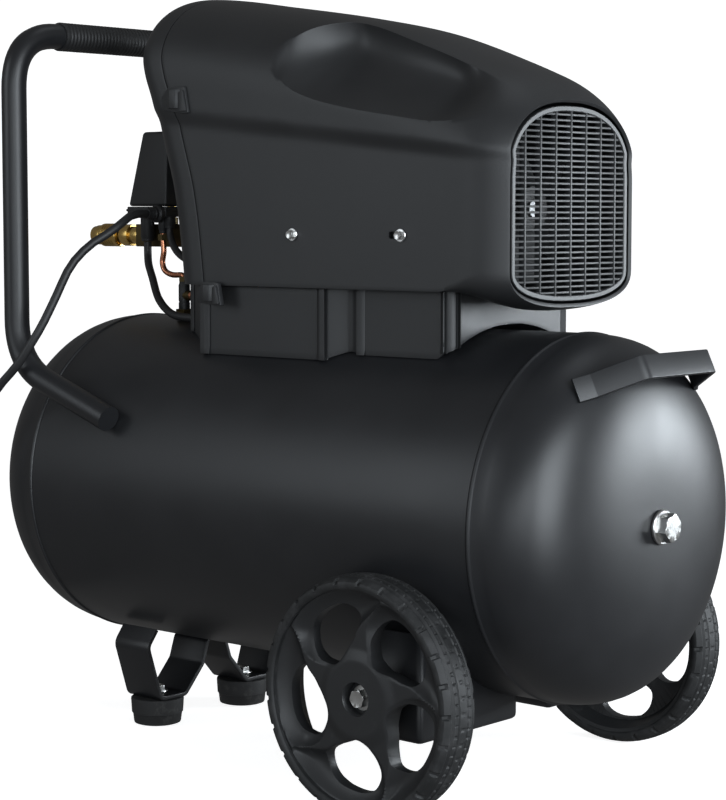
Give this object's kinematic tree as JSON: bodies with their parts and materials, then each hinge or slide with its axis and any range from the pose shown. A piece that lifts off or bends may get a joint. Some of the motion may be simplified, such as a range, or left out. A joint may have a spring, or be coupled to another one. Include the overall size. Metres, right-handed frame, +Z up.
{
  "type": "air compressor",
  "caption": "Wheeled horizontal-tank air compressor with a hooded piston pump, louvred intake grille, tubular push handle, lift handle, pressure switch and air outlet.",
  "frame": {"origin": "on the floor, under the middle of the machine's outline without its cord", "axes": "+X along the tank towards the intake grille, +Y across the tank away from the cable side, +Z up"},
  "size_m": [0.8745, 0.415, 0.6876],
  "materials": {
    "tank_paint": "semi-gloss dark grey powder coat",
    "hood_plastic": "fine-grained dark grey moulded plastic",
    "black_plastic": "satin black moulded plastic",
    "tyre_rubber": "dull black solid tyre",
    "rubber": "dull black",
    "zinc": "bright zinc plate",
    "brass": "machined",
    "copper": "drawn copper tube",
    "cast_aluminium": "as cast",
    "steel": "plain",
    "red_plastic": "signal red"
  },
  "bodies": {
    "machine": {"tank_shell": "tank_paint", "tank_head_rear": "tank_paint", "tank_head_front": "tank_paint", "foot_bracket": "tank_paint", "wheel_bracket_near": "tank_paint", "wheel_bracket_far": "tank_paint", "push_handle": "tank_paint", "lift_handle": "tank_paint", "hood": "hood_plastic", "rear_cover": "hood_plastic", "base_cowl": "hood_plastic", "clip_upper_near": "hood_plastic", "clip_upper_far": "hood_plastic", "clip_lower_near": "hood_plastic", "clip_lower_far": "hood_plastic", "intake_grille": "black_plastic", "pressure_switch_base": "black_plastic", "pressure_switch_cover": "black_plastic", "cord_gland": "black_plastic", "mains_plug": "black_plastic", "pressure_gauge": "black_plastic", "check_valve": "black_plastic", "rubber_foot_near": "rubber", "rubber_foot_far": "rubber", "handle_grip": "rubber", "mains_cord": "rubber", "cord_coil": "rubber", "motor_cable": "rubber", "foot_screw_near": "zinc", "foot_screw_far": "zinc", "wheel_bolt_near": "zinc", "wheel_bolt_far": "zinc", "hood_screw_1": "zinc", "hood_screw_2": "zinc", "inspection_plug": "zinc", "quick_coupler": "brass", "manifold": "brass", "regulator": "brass", "safety_valve": "brass", "drain_valve": "brass", "unloader_tube": "copper", "discharge_tube": "copper", "crankcase": "cast_aluminium", "cylinder": "cast_aluminium", "cylinder_head": "cast_aluminium", "piston_and_rod": "cast_aluminium", "motor_housing": "cast_aluminium", "pump_saddle": "steel"},
    "wheel_near_body": {"wheel_near": "black_plastic", "tyre_near": "tyre_rubber"},
    "wheel_far_body": {"wheel_far": "black_plastic", "tyre_far": "tyre_rubber"},
    "rotor": {"rotor_shaft": "steel", "cooling_fan": "black_plastic"},
    "knob": {"switch_knob": "red_plastic"},
    "regulator_setting": {"regulator_knob": "black_plastic"},
    "needle": {"gauge_needle": "red_plastic"},
    "relief_ring": {"safety_ring": "zinc"},
    "sleeve": {"coupler_sleeve": "brass"},
    "drain_tap": {"drain_knob": "brass"}
  },
  "joints": [
    {"name": "wheel_near_spin", "type": "hinge", "parent": "machine", "child": "wheel_near_body", "pos_m": [0.16965, -0.178, 0.1], "axis": [0, 1, 0], "continuous": true},
    {"name": "wheel_far_spin", "type": "hinge", "parent": "machine", "child": "wheel_far_body", "pos_m": [0.16965, 0.178, 0.1], "axis": [0, 1, 0], "continuous": true},
    {"name": "rotor_spin", "type": "hinge", "parent": "machine", "child": "rotor", "pos_m": [0.09115, 0, 0.492], "axis": [1, 0, 0], "continuous": true},
    {"name": "switch_turn", "type": "hinge", "parent": "machine", "child": "knob", "pos_m": [-0.27135, 0, 0.528], "axis": [-1, 0, 0], "range_deg": [0, 90]},
    {"name": "regulator_turn", "type": "hinge", "parent": "machine", "child": "regulator_setting", "pos_m": [-0.21635, 0.053, 0.467], "axis": [0, 1, 0], "range_deg": [0, 720]},
    {"name": "needle_swing", "type": "hinge", "parent": "machine", "child": "needle", "pos_m": [-0.28585, 0.036, 0.52], "axis": [1, 0, 0], "range_deg": [0, 270]},
    {"name": "relief_pull", "type": "slide", "parent": "machine", "child": "relief_ring", "axis": [0, 0, 1], "range_m": [0, 0.004], "stiffness_N_per_m": 150},
    {"name": "sleeve_slide", "type": "slide", "parent": "machine", "child": "sleeve", "axis": [1, 0, 0], "range_m": [0, 0.004], "stiffness_N_per_m": 300},
    {"name": "drain_turn", "type": "hinge", "parent": "machine", "child": "drain_tap", "pos_m": [0.07865, 0, 0.052], "axis": [0, 0, 1], "range_deg": [0, 720]}
  ]
}
